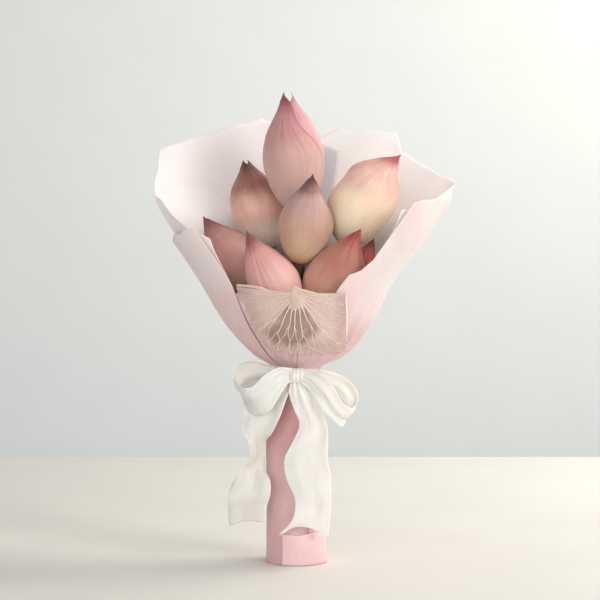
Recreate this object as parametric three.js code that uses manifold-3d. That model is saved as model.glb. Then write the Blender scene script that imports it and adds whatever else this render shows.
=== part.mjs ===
// A hand-tied bouquet of eight lotus buds.
//
// The buds stand on long stems, which a band of tape binds into a narrow waist. Below the waist the stems
// splay in a slow spiral down to their cut ends, inside a rolled paper handle. Above it four sheets of
// wrapping paper open into a cone round the buds, a skeletonised lotus leaf is folded over the front
// sheet's rim, and a ribbon is tied in a bow round the waist.
//
// Millimetres, +Z up. The bouquet stands on its handle, and its front, with the bow, faces -Y. All sizes
// below are measured from the handle's own axis, which stands at HANDLE_X, HANDLE_Y in the part's frame.
import * as THREE from "three";
import { mergeVertices } from "three/addons/utils/BufferGeometryUtils.js";
import Module from "manifold-3d";

const wasm = await Module();
wasm.setup();

const DEG = Math.PI / 180;
const UP = new THREE.Vector3(0, 0, 1);
const point = (x, y, z) => new THREE.Vector3(x, y, z);
const clamp01 = (x) => Math.min(1, Math.max(0, x));
const smooth = (from, to, x) => {
  const s = clamp01((x - from) / (to - from));
  return s * s * (3 - 2 * s);
};

// The handle's axis, placed so that the origin is below the middle of the whole bouquet.
const HANDLE_X = -8.5;
const HANDLE_Y = -15.2;

// ---------------------------------------------------------------- driving sizes

const WAIST_HEIGHT = 207; // the middle of the binding above the cut ends
const STEM_RADIUS = 5;
const MIDDLE_STEM_RADIUS = 6.3; // the tallest bud's stem, which the others surround
const STEM_RING_AT_WAIST = 11.8; // from the axis to the middle of each outer stem
const STEM_RING_AT_FOOT = 26;
const SPIRAL_TURN = 38; // degrees that the stems turn from their cut ends to the waist
const SEAT_GAP = 0.35; // between pieces that touch

const HANDLE_RADIUS = 34.6;
const PAPER = 0.9; // sheet thickness, heavier than real paper

const RIBBON_THICKNESS = 0.9;

const COLOURS = {
  stem: 0x6f7d4c,
  tape: 0x7c8a5c,
  palePaper: 0xf3e6e4,
  pinkPaper: 0xe3b9bb,
  leaf: 0xe9e0d0,
  ribbon: 0xf4f2ec,
};

// Each bud goes from its base, where the stem meets it, to its tip, and bends sideways towards the tip by
// "bend". A bud that is "full" above 1 has its widest place nearer to its tip. A "bulge" is a shoulder on
// one side: the way it faces in degrees, how far it stands out, where along the bud it is and how far it
// reaches. The bud's stem takes one of the slots round the middle stem, and passes the points in "via".
// Petals are listed from the innermost to the outermost: the way they face in degrees, with -90 to the
// front, half their spread in degrees, how far their tip stands off the bud, and how much longer than the
// bud they are.
const BUDS = [
  { name: "top", base: [3, 12.5, 378], tip: [-8, 8.5, 512], bend: [0, 0, 0], radius: 34,
    full: 1.3, slot: null, colour: 0xe0b3b0, via: [[0, 4, 258], [-1, 8, 305]],
    petals: [[60, 84, 0.4, 0], [160, 86, 0.8, 0], [-25, 84, 2.2, 5], [-122, 92, 1.8, 1]] },
  { name: "upper_left", base: [-30, 47, 341], tip: [-54, 50, 444], bend: [-4, 0, 0], radius: 31.5,
    full: 1.2, slot: 3, colour: 0xb98579, via: [],
    petals: [[120, 84, 0.4, 0], [20, 88, 0.8, 0], [-20, 84, 1, -5], [-106, 96, 1.2, 1]] },
  { name: "centre", base: [4, -16, 324], tip: [16, -38, 420], bend: [2, 0, 0], radius: 28.5,
    full: 1.2, slot: 6, colour: 0xcfa594, via: [[1, -11, 240], [0, -9, 272], [2, -10, 300]],
    petals: [[90, 84, 0.4, 0], [170, 88, 0.6, 0], [-42, 84, 1, -2], [-100, 96, 1, 1]] },
  { name: "upper_right", base: [55, -3, 342], tip: [83, -8, 449], bend: [33, 0, -4], radius: 35.5,
    full: 1.3, slot: 2, colour: 0xedcdae, via: [[12, 12, 245], [25, 8, 290], [38, 4, 310]],
    bulge: [180, 14, 0.84, 0.13],
    petals: [[90, 84, 0.4, 0], [170, 86, 0.8, -6], [-20, 84, 4, 0], [-106, 92, 1.4, -2]] },
  { name: "lower_left", base: [-42, 10, 296], tip: [-96, 5, 376], bend: [-5, 0, 2], radius: 29.5,
    full: 1.1, slot: 4, colour: 0xb98784, via: [],
    petals: [[120, 84, 0.4, 0], [30, 88, 0.8, 0], [-50, 88, 1, -2], [-122, 94, 1.2, 1]] },
  { name: "front_left", base: [-6, -34, 265], tip: [-47, -47, 359], bend: [-5, 0, 0], radius: 27,
    full: 1.1, slot: 5, colour: 0xe3a9a1, via: [[-10, -12.5, 224]],
    petals: [[100, 84, 0.4, 0], [180, 88, 0.8, 0], [-30, 88, 1, -1], [-108, 96, 1.2, 1]] },
  { name: "front_right", base: [22.5, -19, 262], tip: [55, -46, 365], bend: [15, -2, -2], radius: 29,
    full: 1.15, slot: 0, colour: 0xc58578, via: [], bulge: [0, 6, 0.58, 0.2],
    petals: [[90, 84, 0.4, 0], [180, 86, 0.8, -3], [-10, 88, 1.6, 1], [-118, 88, 1.2, -4]] },
  { name: "lower_right", base: [47, 13, 264], tip: [86, 23, 354], bend: [1, 0, 0], radius: 23,
    full: 1.1, slot: 1, colour: 0xc27f78, via: [[15, 4, 222]],
    petals: [[90, 84, 0.4, 0], [170, 86, 0.8, 0], [-20, 86, 1.4, 1], [-110, 88, 1.2, 0]] },
];
const SLOTS = 7; // places round the middle stem
const FIRST_SLOT = -38; // degrees

// The wrapping's open cone: height, then how far out it goes to the left, right, front and back.
const CONE = [
  [186, 21.5, 21.5, 21.5, 21.5],
  [211, 21.5, 21.5, 21.5, 21.5],
  [216, 25, 27, 25, 24],
  [224, 36, 43, 34, 32],
  [240, 53, 60, 49, 43],
  [265, 74, 77, 64, 54],
  [306, 98, 98, 79, 66],
  [354, 130, 134, 97, 80],
  [399, 157, 161, 111, 92],
  [449, 180, 186, 123, 102],
  [500, 200, 206, 133, 110],
];
const CONE_ROWS = [193, 211, 216, 224, 240, 265]; // heights that every sheet's rows share
const UPPER_ROWS = 3; // rows from there to the rim
const COLUMN_STEP = 9; // degrees

// Each sheet's rim: degrees round the cone, with 270 at the front, and the rim's height there.
const SHEETS = [
  { name: "back_left_wrap", layer: 0, colour: "palePaper",
    rim: [[75, 460], [103, 499], [125, 477], [148, 457], [154, 432], [164, 405], [187, 397], [203, 374],
      [225, 350]] },
  { name: "back_right_wrap", layer: 1, colour: "palePaper",
    rim: [[-43, 380], [-22, 390], [-3, 407], [14, 420], [34, 436], [50, 456], [54, 480], [76, 487],
      [100, 452]] },
  { name: "front_wrap", layer: 2, colour: "pinkPaper",
    rim: [[210, 302], [226, 294], [248, 287], [270, 284], [292, 287], [315, 292], [330, 300]] },
  { name: "outer_wrap", layer: 3, colour: "pinkPaper",
    rim: [[-88, 240], [-76, 262], [-66, 288], [-60, 313], [-53, 317], [-48, 327], [-41, 388], [-6, 401],
      [22, 372],
      [58, 384], [90, 418], [122, 380], [152, 345], [181, 354], [204, 356], [222, 362], [229, 300]] },
];

// ---------------------------------------------------------------- shared geometry

// A smooth curve through a table's rows: x in the first column, and one value from the given column.
function along(table, x, column = 1) {
  const last = table.length - 1;
  if (x <= table[0][0]) return table[0][column];
  if (x >= table[last][0]) return table[last][column];
  let k = 0;
  while (table[k + 1][0] < x) k++;
  const slope = (i) => {
    const a = table[Math.max(0, i - 1)];
    const b = table[Math.min(last, i + 1)];
    return (b[column] - a[column]) / (b[0] - a[0]);
  };
  const width = table[k + 1][0] - table[k][0];
  const s = (x - table[k][0]) / width;
  const [p, q] = [table[k][column], table[k + 1][column]];
  const [m, n] = [slope(k) * width, slope(k + 1) * width];
  return p + s * m + s * s * (3 * (q - p) - 2 * m - n) + s ** 3 * (2 * (p - q) + m + n);
}

// The same in straight lines from row to row.
function straight(table, x, column = 1) {
  let k = 0;
  while (k < table.length - 2 && table[k + 1][0] < x) k++;
  const s = clamp01((x - table[k][0]) / (table[k + 1][0] - table[k][0]));
  return table[k][column] + s * (table[k + 1][column] - table[k][column]);
}

// A closed slab between two grids, both split into triangles the same way. at(column, row, side) gives a
// point, with side 1 on the face that the columns and rows run round counter-clockwise.
function slab(columns, rows, at) {
  const points = [];
  for (const side of [1, 0])
    for (let i = 0; i <= columns; i++)
      for (let j = 0; j <= rows; j++) points.push(at(i, j, side));
  const half = points.length / 2;
  const id = (i, j, side) => (side ? 0 : half) + i * (rows + 1) + j;
  const faces = [];
  const quad = (a, b, c, d) => faces.push(a, b, c, a, c, d);
  for (let i = 0; i < columns; i++)
    for (let j = 0; j < rows; j++) {
      const [a, b, c, d] = [id(i, j, 1), id(i + 1, j, 1), id(i + 1, j + 1, 1), id(i, j + 1, 1)];
      faces.push(a, b, c, a, c, d);
      faces.push(a + half, c + half, b + half, a + half, d + half, c + half);
    }
  for (let i = 0; i < columns; i++) {
    quad(id(i, 0, 0), id(i + 1, 0, 0), id(i + 1, 0, 1), id(i, 0, 1));
    quad(id(i, rows, 1), id(i + 1, rows, 1), id(i + 1, rows, 0), id(i, rows, 0));
  }
  for (let j = 0; j < rows; j++) {
    quad(id(0, j, 1), id(0, j + 1, 1), id(0, j + 1, 0), id(0, j, 0));
    quad(id(columns, j, 0), id(columns, j + 1, 0), id(columns, j + 1, 1), id(columns, j, 1));
  }
  const geometry = new THREE.BufferGeometry();
  geometry.setAttribute("position", new THREE.Float32BufferAttribute(points.flatMap((p) => p.toArray()), 3));
  geometry.setIndex(faces);
  return geometry;
}

function solidOf(geometry) {
  const bare = geometry.clone();
  bare.deleteAttribute("normal");
  bare.deleteAttribute("uv");
  const merged = mergeVertices(bare, 1e-3);
  return new wasm.Manifold(
    new wasm.Mesh({
      numProp: 3,
      vertProperties: merged.attributes.position.array,
      triVerts: new Uint32Array(merged.index.array),
    }),
  );
}

// The outer shell of a solid, without any small hollow left between pieces that were joined.
function geometryOf(solid) {
  const shells = solid.decompose().sort((a, b) => b.volume() - a.volume());
  const mesh = shells[0].getMesh();
  const geometry = new THREE.BufferGeometry();
  geometry.setAttribute("position", new THREE.Float32BufferAttribute(mesh.vertProperties, 3));
  geometry.setIndex(Array.from(mesh.triVerts));
  return geometry;
}

const bouquet = new THREE.Group();
bouquet.position.set(HANDLE_X, HANDLE_Y, 0);

function place(name, geometry, colour, roughness) {
  const shown = geometry.index ? geometry.toNonIndexed() : geometry;
  shown.computeVertexNormals();
  const material = new THREE.MeshStandardMaterial({
    color: colour,
    roughness,
    metalness: 0,
    side: THREE.DoubleSide,
  });
  const mesh = new THREE.Mesh(shown, material);
  mesh.name = name;
  bouquet.add(mesh);
  return mesh;
}

// ---------------------------------------------------------------- lotus buds

const PETAL_COLUMNS = 5;
const PETAL_ROWS = 7;
const PETAL_STEP = 1.2; // how far each petal lies outside the one before it
const CORE_INSET = 5.5; // from the bud's outside to its closed heart
const CORE_SIDES = 10;
const BASE_RADIUS = 4.6; // the flat that the stem meets

// The bud's own outline: how wide it is, from 0 to 1, at a share of its length.
const BUD_OUTLINE = [
  [0, 0.15],
  [0.04, 0.45],
  [0.1, 0.68],
  [0.2, 0.88],
  [0.32, 0.99],
  [0.42, 1],
  [0.55, 0.9],
  [0.68, 0.69],
  [0.8, 0.44],
  [0.9, 0.22],
  [1, 0.04],
];
const budWidth = (bud, t) => along(BUD_OUTLINE, clamp01(t) ** bud.full);

function bulge(bud, degrees, t) {
  if (!bud.bulge) return 0;
  const [facing, out, at, reach] = bud.bulge;
  const aside = Math.max(0, Math.cos((degrees - facing) * DEG));
  return out * aside ** 2 * Math.exp(-(((t - at) / reach) ** 2));
}

function petalGeometry(bud, length, index) {
  const [facing, spread, tipOff, longer] = bud.petals[index];
  const lift = (index + 1 - bud.petals.length) * PETAL_STEP;
  return slab(PETAL_COLUMNS, PETAL_ROWS, (i, j, side) => {
    const u = (2 * i) / PETAL_COLUMNS - 1;
    const t = 0.03 + 0.97 * (j / PETAL_ROWS) ** 0.9;
    const narrowing = 1 - 0.62 * smooth(0.45, 1, t) - 0.25 * smooth(0.3, 0, t);
    const degrees = facing + u * spread * narrowing;
    const angle = degrees * DEG;
    const free = smooth(0.72, 0.97, t); // the tip stands free of the bud
    const shoulder = bulge(bud, degrees, t);
    const outside = (bud.radius + lift) * budWidth(bud, t) + tipOff * free + 0.5 + shoulder;
    const sunk = (bud.radius - CORE_INSET - 4) * budWidth(bud, t);
    const inside = sunk + free * (outside - 1.1 - sunk);
    const radius = Math.max(0.3, side ? outside : inside);
    return point(radius * Math.cos(angle), radius * Math.sin(angle), t * (length + longer));
  });
}

function budGeometry(bud, length) {
  const profile = [new THREE.Vector2(0, 0), new THREE.Vector2(BASE_RADIUS, 0)];
  for (const t of [0.05, 0.14, 0.3, 0.5, 0.68, 0.82])
    profile.push(new THREE.Vector2((bud.radius - CORE_INSET) * budWidth(bud, t), t * length));
  profile.push(new THREE.Vector2(0, 0.95 * length));
  const core = new THREE.LatheGeometry(profile, CORE_SIDES);
  core.rotateX(Math.PI / 2);
  let solid = solidOf(core);
  for (const index of bud.petals.keys()) solid = solid.add(solidOf(petalGeometry(bud, length, index)));
  return geometryOf(solid);
}

function addBud(bud) {
  const base = point(...bud.base);
  const axis = point(...bud.tip).sub(base);
  const length = axis.length();
  const geometry = budGeometry(bud, length);
  const turn = new THREE.Quaternion().setFromUnitVectors(UP, axis.normalize());
  const bend = point(...bud.bend);
  const vertex = new THREE.Vector3();
  const position = geometry.attributes.position;
  for (let k = 0; k < position.count; k++) {
    vertex.fromBufferAttribute(position, k);
    const share = clamp01(vertex.z / length);
    vertex.applyQuaternion(turn).add(base).addScaledVector(bend, share ** 3);
    position.setXYZ(k, vertex.x, vertex.y, vertex.z);
  }
  place("lotus_bud_" + bud.name, geometry, bud.colour, 0.62);
}

// ---------------------------------------------------------------- stems

const STEM_SIDES = 7;
const STEM_STEPS = 11;
const BELOW_FOOT = 8; // cut off level with the foot

function ringPoint(radius, degrees, height) {
  return point(radius * Math.cos(degrees * DEG), radius * Math.sin(degrees * DEG), height);
}

function addStem(bud) {
  const middle = bud.slot === null;
  const azimuth = middle ? 0 : FIRST_SLOT + (360 / SLOTS) * bud.slot;
  const radius = middle ? MIDDLE_STEM_RADIUS : STEM_RADIUS;
  const base = point(...bud.base);
  const axis = point(...bud.tip).sub(base).normalize();
  const spread = STEM_RING_AT_FOOT - STEM_RING_AT_WAIST;
  const ring = (share) => (middle ? 0 : STEM_RING_AT_WAIST + spread * Math.max(0, share) ** 1.3);
  const below = (share) =>
    ringPoint(ring(share), azimuth - SPIRAL_TURN * share, WAIST_HEIGHT * (1 - share));
  const path = new THREE.CatmullRomCurve3(
    [
      below(1 + BELOW_FOOT / WAIST_HEIGHT),
      below(0.66),
      below(0.33),
      below(0.08),
      below(0.01),
      below(-0.04),
      ...bud.via.map((p) => point(...p)),
      base.clone().addScaledVector(axis, -14),
      base.clone().addScaledVector(axis, -SEAT_GAP),
    ],
    false,
    "centripetal",
  );
  const section = new THREE.Shape();
  for (let k = 0; k < STEM_SIDES; k++) {
    const angle = (2 * Math.PI * k) / STEM_SIDES;
    section[k ? "lineTo" : "moveTo"](radius * Math.cos(angle), radius * Math.sin(angle));
  }
  const tube = new THREE.ExtrudeGeometry(section, { steps: STEM_STEPS, extrudePath: path });
  const ground = new THREE.BoxGeometry(200, 200, 40);
  ground.translate(0, 0, -20);
  place("stem_" + bud.name, geometryOf(solidOf(tube).subtract(solidOf(ground))), COLOURS.stem, 0.7);
}

// ---------------------------------------------------------------- binding tape

function addBinding() {
  const inner = STEM_RING_AT_WAIST + STEM_RADIUS + 1;
  const ring = new THREE.LatheGeometry(
    [
      new THREE.Vector2(inner, WAIST_HEIGHT - 9),
      new THREE.Vector2(inner + 0.6, WAIST_HEIGHT - 9),
      new THREE.Vector2(inner + 0.6, WAIST_HEIGHT - 3),
      new THREE.Vector2(inner, WAIST_HEIGHT - 3),
      new THREE.Vector2(inner, WAIST_HEIGHT - 9),
    ],
    28,
  );
  ring.rotateX(Math.PI / 2);
  place("binding_tape", ring, COLOURS.tape, 0.6);
}

// ---------------------------------------------------------------- paper handle

// One sheet rolled a little past a full turn. Its outer edge is at the front, and there its foot is folded
// up into a hem.
const ROLL_START = 244; // degrees, the visible edge
const ROLL_TURN = 398;
const ROLL_PITCH = PAPER + 0.45; // how far in it goes in one turn
const HANDLE_OUTLINE = [
  [0, HANDLE_RADIUS],
  [110, HANDLE_RADIUS],
  [140, 33.8],
  [160, 30.5],
  [178, 24.6],
  [192, 21.1],
  [212, 21.1],
];
const HANDLE_ROWS = [0, 30, 32, 124, 144, 160, 175, 190, 209];
const HEM_HEIGHT = 31;
const HEM_TURN = 100; // degrees
const HANDLE_COLUMNS = 34;

function addHandle() {
  const geometry = slab(HANDLE_COLUMNS, HANDLE_ROWS.length - 1, (i, j, side) => {
    const turned = (ROLL_TURN * i) / HANDLE_COLUMNS;
    const height = HANDLE_ROWS[j];
    const hem = height < HEM_HEIGHT && turned < HEM_TURN ? 0.8 * side : 0;
    const outside = along(HANDLE_OUTLINE, height) - (ROLL_PITCH * turned) / 360;
    const radius = outside + hem - (1 - side) * PAPER;
    return ringPoint(radius, ROLL_START + turned, height);
  });
  place("handle_wrap", geometry, COLOURS.pinkPaper, 0.75);
}

// ---------------------------------------------------------------- wrapping sheets

// How far apart the sheets lie, packed tight at the waist and looser above.
const layerPitch = (height) => 1.3 + 0.9 * smooth(211, 226, height);

// The paper's slow waves, the same for every sheet so that they nest.
function wave(degrees, height) {
  const open = smooth(270, 430, height);
  const a = degrees * DEG;
  return open * (4.2 * Math.sin(5 * a + 0.7) + 2.6 * Math.sin(9 * a + 2.1 + height / 90));
}

function conePoint(degrees, height, offset) {
  const a = degrees * DEG;
  const out = offset + wave(degrees, height);
  const width = straight(CONE, height, Math.cos(a) < 0 ? 1 : 2);
  const depth = straight(CONE, height, Math.sin(a) < 0 ? 3 : 4);
  return point((width + out) * Math.cos(a), (depth + out) * Math.sin(a), height);
}

function addSheet(sheet) {
  const [first, last] = [sheet.rim[0][0], sheet.rim[sheet.rim.length - 1][0]];
  const columns = sheet.rim.map(([degrees]) => degrees);
  for (let d = Math.ceil(first / COLUMN_STEP) * COLUMN_STEP; d < last; d += COLUMN_STEP)
    if (columns.every((c) => Math.abs(c - d) > COLUMN_STEP / 2)) columns.push(d);
  columns.sort((a, b) => a - b);
  const shared = CONE_ROWS.length - 1;
  const geometry = slab(columns.length - 1, shared + UPPER_ROWS, (i, j, side) => {
    const top = straight(sheet.rim, columns[i]);
    const low = CONE_ROWS[shared];
    const upper = low + Math.max(j, ((top - low) * (j - shared)) / UPPER_ROWS);
    const below = top - 2 * (shared + UPPER_ROWS - j); // a low rim bunches the rows under it
    const height = Math.min(j <= shared ? CONE_ROWS[j] : upper, below);
    const offset = sheet.layer * layerPitch(height) + side * PAPER;
    return conePoint(columns[i], height, offset);
  });
  place(sheet.name, geometry, COLOURS[sheet.colour], 0.7);
}

// ---------------------------------------------------------------- skeleton leaf

const HUB = [0, 293]; // X and height of the leaf's hub, at the fold
const LEAF = 0.8; // thickness
const LEAF_LAYER = 4;
const LEAF_RAYS = 23;
const LEAF_SPAN = 186; // degrees, from a little above the horizontal on the left
const LEAF_RINGS = [3, 12, 24, 38, 54];
const RIB = 0.5; // how far the veins stand out
// How far the leaf reaches from its hub, by the angle below the horizontal from its left end.
const LEAF_REACH = [
  [-12, 76],
  [0, 72],
  [20, 64],
  [45, 61],
  [65, 67],
  [80, 65],
  [105, 66],
  [120, 73],
  [130, 82],
  [139, 75],
  [152, 63],
  [180, 56],
];
// The other half is folded back over the rim: the offset inwards, and the height from the hub.
const LEAF_FOLD = [
  [-0.5, -4.5],
  [-0.3, -0.5],
  [1.6, 1.6],
  [5.6, 1.2],
  [7.2, -4],
  [7.2, -16],
];
const FOLD_RISE = 0.105; // how steeply the fold climbs to the left of the hub
const FOLD_LEFT = -52;
const FOLD_WIDTH = 94;
const FOLD_COLUMNS = 14;

// A point of the leaf, laid on the front of the cone.
function onFront(x, height, offset) {
  const width = straight(CONE, height, x < 0 ? 1 : 2) + offset;
  const depth = straight(CONE, height, 3) + offset;
  return point(x, -depth * Math.sqrt(Math.max(0, 1 - (x / width) ** 2)), height);
}

const leafOffset = (height) => LEAF_LAYER * layerPitch(height) + 4 * smooth(275, 240, height);

function addLeaf() {
  const last = LEAF_RINGS.length;
  const blade = slab(LEAF_RAYS, last, (i, j, side) => {
    const degrees = 180 - (LEAF_SPAN * i) / LEAF_RAYS;
    const angle = (180 + degrees) * DEG;
    const edge = along(LEAF_REACH, degrees) + (i % 2 ? 1.5 : -1.5);
    const reach = j === last ? edge : Math.min(LEAF_RINGS[j], edge - 5 * (last - j));
    const x = HUB[0] + reach * Math.cos(angle);
    const height = HUB[1] + reach * Math.sin(angle);
    const rib = i % 2 && side ? RIB * smooth(2, 10, reach) : 0;
    return onFront(x, height, leafOffset(height) + side * LEAF + rib);
  });
  const cover = slab(FOLD_COLUMNS, LEAF_FOLD.length - 1, (i, j, side) => {
    const x = FOLD_LEFT + (FOLD_WIDTH * i) / FOLD_COLUMNS;
    const before = LEAF_FOLD[Math.max(0, j - 1)];
    const after = LEAF_FOLD[Math.min(LEAF_FOLD.length - 1, j + 1)];
    const [inwards, up] = [after[0] - before[0], after[1] - before[1]];
    const push = (side * LEAF) / Math.hypot(inwards, up);
    const offset = leafOffset(HUB[1]) - LEAF_FOLD[j][0] + push * up;
    const fold = HUB[1] + FOLD_RISE * Math.max(0, -x);
    return onFront(x, fold + LEAF_FOLD[j][1] + push * inwards, offset);
  });
  place("skeleton_leaf", geometryOf(solidOf(blade).add(solidOf(cover))), COLOURS.leaf, 0.8);
}

// ---------------------------------------------------------------- ribbon

// The bow's two loops and two tails. Each row gives the ribbon's two edges: upper or left, then lower or
// right, as X, Y and height.
const RIBBON_RUNS = {
  left_loop: [
    [-1, -37, 212, -1, -37, 200],
    [-18, -44, 214, -11, -43, 195],
    [-34, -50, 206, -19, -50, 182],
    [-48, -51, 193, -28, -49, 169],
    [-59, -47, 193, -40, -44, 163],
    [-69, -38, 204, -53, -34, 170],
    [-66, -31, 216, -55, -27, 185],
    [-49, -31, 221, -44, -28, 194],
    [-28, -32, 216, -27, -30, 197],
    [-2, -33, 211, -2, -33, 201],
  ],
  right_loop: [
    [3, -33, 201, 3, -33, 211],
    [24, -36, 193, 26, -35, 211],
    [44, -35, 180, 52, -36, 203],
    [52, -36, 163, 66, -38, 186],
    [48, -43, 152, 62, -47, 170],
    [36, -50, 160, 50, -54, 176],
    [22, -50, 178, 36, -54, 198],
    [10, -43, 194, 18, -46, 211],
    [1, -37, 201, 2, -38, 212],
  ],
  left_tail: [
    [-4, -33, 209, 1, -33, 200],
    [-30, -38, 197, -8, -37, 186],
    [-56, -36, 182, -12, -39, 176],
    [-58, -39, 163, -18, -43, 160],
    [-58, -46, 149, -26, -40, 145],
    [-50, -50, 133, -34, -31, 133],
    [-48, -46, 120, -35, -24, 120],
    [-58, -38, 106, -34, -27, 105],
    [-68, -40, 91, -28, -39, 91],
    [-73, -46, 75, -28, -42, 77],
    [-73, -42, 60, -32, -40, 64],
    [-72, -37, 43, -35, -39, 51],
  ],
  right_tail: [
    [-3, -36, 208, 6, -36, 201],
    [-8, -40, 188, 21, -43, 186],
    [-3, -41, 170, 29, -46, 166],
    [3, -42, 154, 33, -47, 150],
    [-4, -45, 135, 34, -48, 134],
    [-12, -47, 119, 33, -45, 118],
    [-13, -44, 105, 36, -42, 103],
    [-9, -41, 90, 37, -43, 88],
    [-2, -41, 72, 37, -46, 70],
    [-3, -44, 54, 36, -45, 52],
    [-10, -45, 39, 35, -42, 38],
    [-20, -43, 28, 34, -41, 26],
  ],
};
const RIBBON_ROWS = { left_loop: 20, right_loop: 18, left_tail: 20, right_tail: 20 };
const RIBBON_COLUMNS = 3;
const NOTCH = 7; // how far the cut end is hollowed
const KNOT = { middle: [1, -35.6, 205], size: [9.5, 8.5, 8] };

function ribbonRun(name) {
  const runs = RIBBON_RUNS[name];
  const curve = (from) =>
    new THREE.CatmullRomCurve3(runs.map((row) => point(...row.slice(from, from + 3))), false, "centripetal");
  const [first, second] = [curve(0), curve(3)];
  const rows = RIBBON_ROWS[name];
  const tail = name.endsWith("tail");
  const middle = (s, across) => {
    const p = first.getPoint(s).lerp(second.getPoint(s), across);
    if (tail) p.z += NOTCH * smooth(0.8, 1, s) * Math.sin(Math.PI * across);
    return p;
  };
  return slab(RIBBON_COLUMNS, rows, (i, j, side) => {
    const [s, across] = [j / rows, i / RIBBON_COLUMNS];
    const nearby = Math.min(0.999, Math.max(0.001, s));
    const forward = middle(nearby + 0.001, across).sub(middle(nearby - 0.001, across));
    const sideways = second.getPoint(nearby).sub(first.getPoint(nearby));
    const normal = sideways.cross(forward).normalize();
    const crease = 1.1 * Math.sin(2 * Math.PI * (1.5 * across + 0.6 * s)) * smooth(0, 0.15, s);
    return middle(s, across).addScaledVector(normal, crease + (side - 0.5) * RIBBON_THICKNESS);
  });
}

function addRibbon() {
  const inner = 27;
  const band = new THREE.LatheGeometry(
    [
      new THREE.Vector2(inner, 196),
      new THREE.Vector2(inner + RIBBON_THICKNESS, 196),
      new THREE.Vector2(inner + RIBBON_THICKNESS, 209),
      new THREE.Vector2(inner, 209),
      new THREE.Vector2(inner, 196),
    ],
    28,
  );
  band.rotateX(Math.PI / 2);
  const knot = new THREE.SphereGeometry(1, 12, 7);
  knot.scale(...KNOT.size);
  knot.translate(...KNOT.middle);
  let solid = solidOf(band).add(solidOf(knot));
  for (const name in RIBBON_RUNS) solid = solid.add(solidOf(ribbonRun(name)));
  place("ribbon", geometryOf(solid), COLOURS.ribbon, 0.45);
}

for (const bud of BUDS) {
  addBud(bud);
  addStem(bud);
}
addBinding();
addHandle();
SHEETS.forEach(addSheet);
addLeaf();
addRibbon();

export default bouquet;
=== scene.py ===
import math

import bmesh
import bpy
import numpy as np
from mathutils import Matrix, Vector


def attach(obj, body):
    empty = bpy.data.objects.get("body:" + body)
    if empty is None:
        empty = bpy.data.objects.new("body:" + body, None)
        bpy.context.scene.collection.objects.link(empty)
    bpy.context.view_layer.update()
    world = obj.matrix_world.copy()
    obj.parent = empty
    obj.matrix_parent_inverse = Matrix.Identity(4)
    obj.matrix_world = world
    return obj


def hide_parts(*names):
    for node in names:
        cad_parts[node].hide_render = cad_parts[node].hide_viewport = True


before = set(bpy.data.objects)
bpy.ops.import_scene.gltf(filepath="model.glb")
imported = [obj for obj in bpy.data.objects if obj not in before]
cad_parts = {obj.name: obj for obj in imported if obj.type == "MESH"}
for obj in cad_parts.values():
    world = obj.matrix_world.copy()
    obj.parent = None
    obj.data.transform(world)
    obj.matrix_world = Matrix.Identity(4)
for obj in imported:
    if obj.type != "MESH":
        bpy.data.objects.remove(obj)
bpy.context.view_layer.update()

HANDLE_AXIS = np.array([-8.5, -15.2, 0.0])  # the handle's axis in the part's frame
UP = Vector((0, 0, 1))

# ---- curves and grids


def smooth(start, end, x):
    s = np.clip((np.asarray(x, float) - start) / (end - start), 0, 1)
    return s * s * (3 - 2 * s)


def hill(x):
    return np.exp(-(x**2))


def hermite(p, q, m, n, s):
    """The curve from p to q with slopes m and n, at s from 0 to 1."""
    return p + s * m + s**2 * (3 * (q - p) - 2 * m - n) + s**3 * (2 * (p - q) + m + n)


def along(table, x, column=1):
    """A smooth curve through a table's rows: x in the first column, and one value from the given column."""
    rows = np.asarray(table, float)
    keys, values = rows[:, 0], rows[:, column]
    last = len(keys) - 1
    x = np.clip(np.asarray(x, float), keys[0], keys[-1])
    k = np.clip(np.searchsorted(keys, x) - 1, 0, last - 1)
    place = np.arange(last + 1)
    before, after = np.maximum(place - 1, 0), np.minimum(place + 1, last)
    slope = (values[after] - values[before]) / (keys[after] - keys[before])
    width = keys[k + 1] - keys[k]
    return hermite(values[k], values[k + 1], slope[k] * width, slope[k + 1] * width, (x - keys[k]) / width)


def curve_through(points, shares):
    """Centripetal Catmull-Rom through the points, at shares from 0 to 1 of their number."""
    p = np.asarray(points, float)
    p = np.vstack([2 * p[0] - p[1], p, 2 * p[-1] - p[-2]])
    spans = len(p) - 3
    at = np.clip(np.asarray(shares, float), 0, 1) * spans
    k = np.minimum(at.astype(int), spans - 1)
    a, b, c, d = four = [p[k + n] for n in range(4)]
    gaps = [np.maximum(np.linalg.norm(four[n + 1] - four[n], axis=1)[:, None] ** 0.5, 1e-6) for n in range(3)]
    m = gaps[1] * ((b - a) / gaps[0] - (c - a) / (gaps[0] + gaps[1]) + (c - b) / gaps[1])
    n = gaps[1] * ((c - b) / gaps[1] - (d - b) / (gaps[1] + gaps[2]) + (d - c) / gaps[2])
    return hermite(b, c, m, n, (at - k)[:, None])


def polar(radius, degrees, height):
    a = np.radians(degrees)
    return np.stack(np.broadcast_arrays(radius * np.cos(a), radius * np.sin(a), height), -1)


def normals_of(grid):
    """Unit normals of a grid of points, on the face where columns and rows run counter-clockwise."""
    across, up = np.gradient(grid, axis=0), np.gradient(grid, axis=1)
    n = np.cross(across, up)
    return n / np.maximum(np.linalg.norm(n, axis=-1, keepdims=True), 1e-9)


def quads(index):
    """The faces between neighbouring columns and rows of a grid of point numbers."""
    return np.stack([index[:-1, :-1], index[1:, :-1], index[1:, 1:], index[:-1, 1:]], -1).reshape(-1, 4)


def numbered(grid):
    return np.arange(grid.shape[0] * grid.shape[1]).reshape(grid.shape[:2])


def flattened(grid, values):
    return {name: np.broadcast_to(v, grid.shape[:2]).ravel() for name, v in values.items()}


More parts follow.
